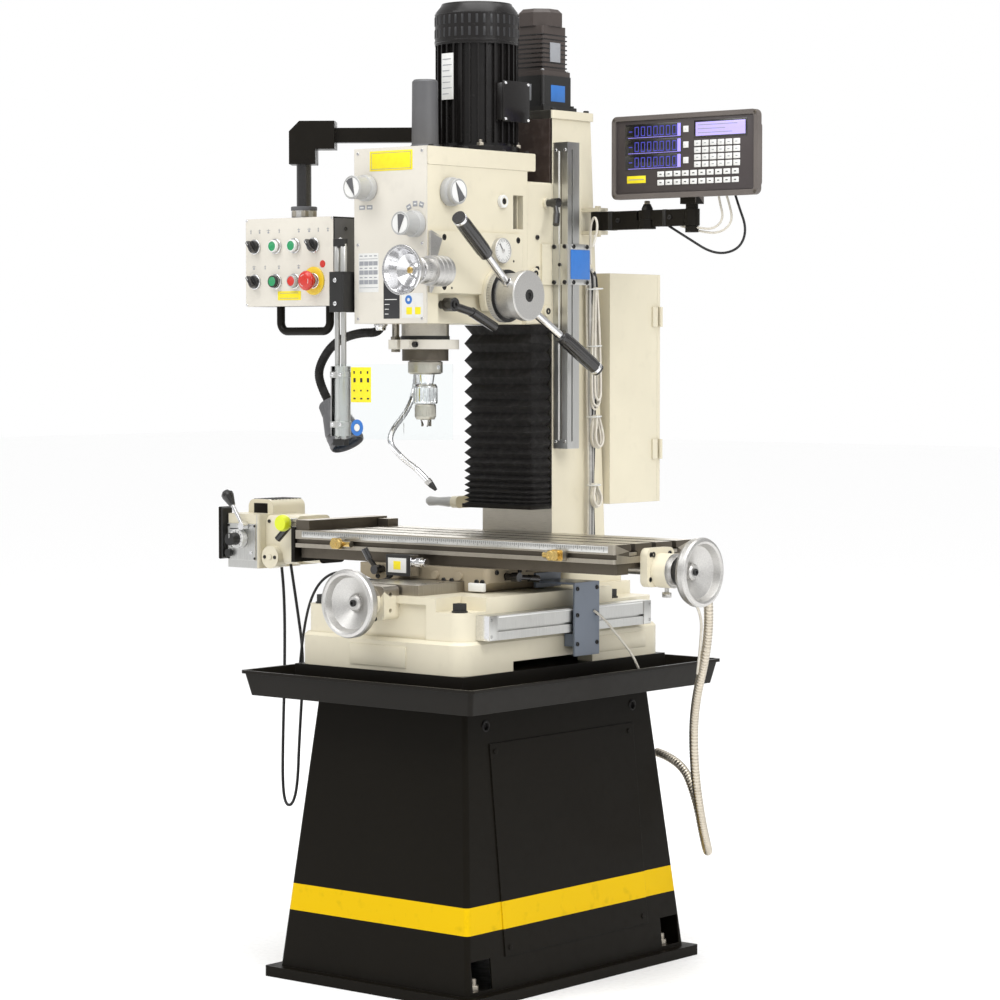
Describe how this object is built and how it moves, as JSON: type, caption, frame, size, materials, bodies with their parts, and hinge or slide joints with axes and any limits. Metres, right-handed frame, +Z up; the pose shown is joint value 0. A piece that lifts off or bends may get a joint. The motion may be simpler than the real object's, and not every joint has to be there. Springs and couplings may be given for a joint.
{
  "type": "milling machine",
  "caption": "Column milling-drilling machine on a cabinet stand, with slotted table, power feed, geared head, digital readout and swinging control pendant.",
  "frame": {"origin": "centre of the stand's foot plate, on the floor", "axes": "+X to the operator's right along the table, +Y from the operator towards the column, +Z up along the column"},
  "size_m": [1.162, 0.8405, 1.872],
  "materials": {
    "cream_paint": "semi-gloss enamel",
    "black_paint": "satin enamel",
    "panel_white": "satin printed sheet",
    "motor_black": "gloss enamel",
    "ground_steel": "ground",
    "table_iron": "ground",
    "bright_steel": "polished",
    "wheel_silver": "silver enamel",
    "scale_alu": "anodised",
    "black_plastic": "moulded",
    "grip_black": "ribbed",
    "knob_grey": "moulded",
    "brass": "turned",
    "green_plastic": "moulded",
    "red_plastic": "moulded",
    "clear_screen": "clear polycarbonate",
    "console_grey": "moulded",
    "bellows_rubber": "rubberised cloth",
    "cable_black": "sheath",
    "conduit_metal": "wound strip",
    "lamp_black": "satin",
    "bolt_black": "black oxide"
  },
  "bodies": {
    "machine": {"stand": "black_paint", "chip_tray": "black_paint", "base_casting": "cream_paint", "base_bolts": "bolt_black", "column": "cream_paint", "z_drive": "motor_black", "electric_cabinet": "cream_paint", "dro_scales": "scale_alu", "bellows": "bellows_rubber", "way_cover": "bellows_rubber"},
    "door": {"cabinet_door": "cream_paint"},
    "cross_wheel": {"y_handwheel": "wheel_silver"},
    "crank": {"z_crank": "cream_paint"},
    "saddle": {"saddle": "cream_paint", "saddle_fittings": "black_plastic", "drain_hose": "conduit_metal"},
    "saddle_lock": {"saddle_lock": "black_plastic"},
    "table_lock": {"table_lock": "black_plastic"},
    "table": {"table": "table_iron", "x_bracket": "cream_paint", "table_plates": "ground_steel", "power_feed": "cream_paint", "pf_cable": "cable_black"},
    "table_wheel": {"x_handwheel": "wheel_silver"},
    "dog_left": {"stop_dog_left": "brass"},
    "dog_right": {"stop_dog_right": "brass"},
    "feed_dial": {"power_feed_dial": "knob_grey"},
    "feed_lever": {"power_feed_lever": "black_plastic"},
    "head": {"head_slide": "cream_paint", "head_casting": "cream_paint", "front_panel": "panel_white", "side_plate": "cream_paint", "head_drive": "motor_black", "guard_post": "scale_alu", "lamp": "lamp_black", "coolant_pipe": "bright_steel"},
    "slide_clamp": {"slide_clamp": "black_plastic"},
    "range_knob": {"range_knob": "knob_grey"},
    "speed_knob": {"speed_knob": "knob_grey"},
    "side_knob": {"side_knob": "knob_grey"},
    "fine_feed": {"fine_feed_wheel": "bright_steel"},
    "hub": {"downfeed_hub": "wheel_silver"},
    "quill": {"quill": "ground_steel"},
    "spindle": {"spindle": "bright_steel"},
    "sleeve": {"chuck_sleeve": "ground_steel"},
    "quill_lock": {"quill_lock": "grip_black"},
    "guard": {"guard_screen": "clear_screen"},
    "pendant_arm": {"pendant_arm": "black_paint"},
    "pendant": {"pendant_box": "panel_white"},
    "mode_selector": {"mode_selector": "black_plastic"},
    "button_feed": {"button_feed": "green_plastic"},
    "button_run": {"button_run": "green_plastic"},
    "lamp_selector": {"lamp_selector": "black_plastic"},
    "coolant_selector": {"coolant_selector": "black_plastic"},
    "button_start": {"button_start": "green_plastic"},
    "button_stop": {"button_stop": "red_plastic"},
    "e_stop": {"e_stop": "red_plastic"},
    "dro_rear": {"dro_arm_rear": "black_paint"},
    "dro_front": {"dro_arm_front": "black_paint"},
    "console": {"dro_console": "console_grey"}
  },
  "joints": [
    {"name": "cross_wheel_turn", "type": "hinge", "parent": "machine", "child": "cross_wheel", "pos_m": [0, -0.403, 0.734], "axis": [0, 1, 0], "range_deg": [0, 12245]},
    {"name": "saddle_travel", "type": "slide", "parent": "machine", "child": "saddle", "axis": [0, 1, 0], "range_m": [-0.17, 0], "deforming": ["drain_hose"]},
    {"name": "table_wheel_turn", "type": "hinge", "parent": "table", "child": "table_wheel", "pos_m": [0.546, -0.028, 0.796], "axis": [1, 0, 0], "range_deg": [-17290, 8645]},
    {"name": "table_travel", "type": "slide", "parent": "saddle", "child": "table", "axis": [1, 0, 0], "range_m": [-0.24, 0.12], "deforming": ["drain_hose"]},
    {"name": "crank_turn", "type": "hinge", "parent": "machine", "child": "crank", "pos_m": [-0.15, 0.15, 0.899], "axis": [1, 0, 0], "range_deg": [-7205, 9005]},
    {"name": "head_travel", "type": "slide", "parent": "machine", "child": "head", "axis": [0, 0, 1], "range_m": [-0.08, 0.1], "deforming": ["bellows", "way_cover"]},
    {"name": "downfeed_turn", "type": "hinge", "parent": "head", "child": "hub", "pos_m": [0.14, -0.072, 1.305], "axis": [1, 0, 0], "range_deg": [0, 300]},
    {"name": "quill_travel", "type": "slide", "parent": "head", "child": "quill", "axis": [0, 0, 1], "range_m": [-0.1048, 0]},
    {"name": "spindle_turn", "type": "hinge", "parent": "quill", "child": "spindle", "pos_m": [0, -0.177, 1.15], "axis": [0, 0, 1], "continuous": true},
    {"name": "sleeve_turn", "type": "hinge", "parent": "spindle", "child": "sleeve", "pos_m": [0, -0.177, 1.086], "axis": [0, 0, 1], "range_deg": [0, 1080]},
    {"name": "fine_feed_turn", "type": "hinge", "parent": "head", "child": "fine_feed", "pos_m": [0.116, -0.33, 1.348], "axis": [0, 1, 0], "continuous": true},
    {"name": "guard_swing", "type": "hinge", "parent": "head", "child": "guard", "pos_m": [-0.113, -0.291, 1.1], "axis": [0, 0, 1], "range_deg": [-95, 0]},
    {"name": "pendant_arm_swing", "type": "hinge", "parent": "head", "child": "pendant_arm", "pos_m": [-0.072, -0.092, 1.6], "axis": [0, 0, 1], "range_deg": [-70, 0]},
    {"name": "pendant_swivel", "type": "hinge", "parent": "pendant_arm", "child": "pendant", "pos_m": [-0.263, -0.231, 1.47], "axis": [0, 0, 1], "range_deg": [-40, 40]},
    {"name": "dro_arm_swing", "type": "hinge", "parent": "machine", "child": "dro_rear", "pos_m": [0.118, 0.204, 1.455], "axis": [0, 0, 1], "range_deg": [0, 60]},
    {"name": "dro_elbow_swing", "type": "hinge", "parent": "dro_rear", "child": "dro_front", "pos_m": [0.239, 0.204, 1.455], "axis": [0, 0, 1], "range_deg": [-40, 60]},
    {"name": "console_swivel", "type": "hinge", "parent": "dro_front", "child": "console", "pos_m": [0.346, 0.204, 1.48], "axis": [0, 0, 1], "range_deg": [-45, 45]},
    {"name": "door_swing", "type": "hinge", "parent": "machine", "child": "door", "pos_m": [0.1085, 0.4245, 1.126], "axis": [0, 0, 1], "range_deg": [-110, 0]},
    {"name": "quill_lock_turn", "type": "hinge", "parent": "head", "child": "quill_lock", "pos_m": [0.09, -0.222, 1.287], "axis": [1, 0, 0], "range_deg": [-60, 0]},
    {"name": "range_knob_turn", "type": "hinge", "parent": "head", "child": "range_knob", "pos_m": [-0.056, -0.3, 1.506], "axis": [0, 1, 0], "range_deg": [0, 90]},
    {"name": "speed_knob_turn", "type": "hinge", "parent": "head", "child": "speed_knob", "pos_m": [0.064, -0.3, 1.436], "axis": [0, 1, 0], "range_deg": [-45, 45]},
    {"name": "side_knob_turn", "type": "hinge", "parent": "head", "child": "side_knob", "pos_m": [0.1, -0.213, 1.497], "axis": [1, 0, 0], "range_deg": [0, 90]},
    {"name": "feed_lever_turn", "type": "hinge", "parent": "table", "child": "feed_lever", "pos_m": [-0.548, -0.112, 0.846], "axis": [0, 1, 0], "range_deg": [0, 70]},
    {"name": "feed_dial_turn", "type": "hinge", "parent": "table", "child": "feed_dial", "pos_m": [-0.562, -0.112, 0.82], "axis": [0, 1, 0], "range_deg": [0, 270]},
    {"name": "dog_left_slide", "type": "slide", "parent": "table", "child": "dog_left", "axis": [1, 0, 0], "range_m": [-0.09, 0.1]},
    {"name": "dog_right_slide", "type": "slide", "parent": "table", "child": "dog_right", "axis": [1, 0, 0], "range_m": [-0.1, 0.09]},
    {"name": "slide_clamp_turn", "type": "hinge", "parent": "head", "child": "slide_clamp", "pos_m": [0.0943, 0.078, 1.487], "axis": [1, 0, 0], "range_deg": [-30, 30]},
    {"name": "saddle_lock_turn", "type": "hinge", "parent": "saddle", "child": "saddle_lock", "pos_m": [0.136, -0.1, 0.774], "axis": [1, 0, 0], "range_deg": [-20, 8]},
    {"name": "table_lock_turn", "type": "hinge", "parent": "saddle", "child": "table_lock", "pos_m": [-0.126, -0.158, 0.78], "axis": [0, -1, 0], "range_deg": [0, 45]},
    {"name": "button_start_press", "type": "slide", "parent": "pendant", "child": "button_start", "axis": [0, 1, 0], "range_m": [0, 0.0025], "stiffness_N_per_m": 600},
    {"name": "button_stop_press", "type": "slide", "parent": "pendant", "child": "button_stop", "axis": [0, 1, 0], "range_m": [0, 0.0025], "stiffness_N_per_m": 600},
    {"name": "button_feed_press", "type": "slide", "parent": "pendant", "child": "button_feed", "axis": [0, 1, 0], "range_m": [0, 0.0025], "stiffness_N_per_m": 600},
    {"name": "button_run_press", "type": "slide", "parent": "pendant", "child": "button_run", "axis": [0, 1, 0], "range_m": [0, 0.0025], "stiffness_N_per_m": 600},
    {"name": "e_stop_press", "type": "slide", "parent": "pendant", "child": "e_stop", "axis": [0, 1, 0], "range_m": [0, 0.005]},
    {"name": "mode_selector_turn", "type": "hinge", "parent": "pendant", "child": "mode_selector", "pos_m": [-0.361, -0.27, 1.403], "axis": [0, 1, 0], "range_deg": [0, 90]},
    {"name": "lamp_selector_turn", "type": "hinge", "parent": "pendant", "child": "lamp_selector", "pos_m": [-0.205, -0.27, 1.403], "axis": [0, 1, 0], "range_deg": [0, 60]},
    {"name": "coolant_selector_turn", "type": "hinge", "parent": "pendant", "child": "coolant_selector", "pos_m": [-0.361, -0.27, 1.335], "axis": [0, 1, 0], "range_deg": [0, 60]}
  ],
  "couplings": [
    {"joint": "cross_wheel_turn", "follows": "saddle_travel", "rad_per_m": -1256.6},
    {"joint": "table_wheel_turn", "follows": "table_travel", "rad_per_m": 1256.6},
    {"joint": "crank_turn", "follows": "head_travel", "rad_per_m": 1570.8},
    {"joint": "quill_travel", "follows": "downfeed_turn", "m_per_rad": -0.02}
  ]
}
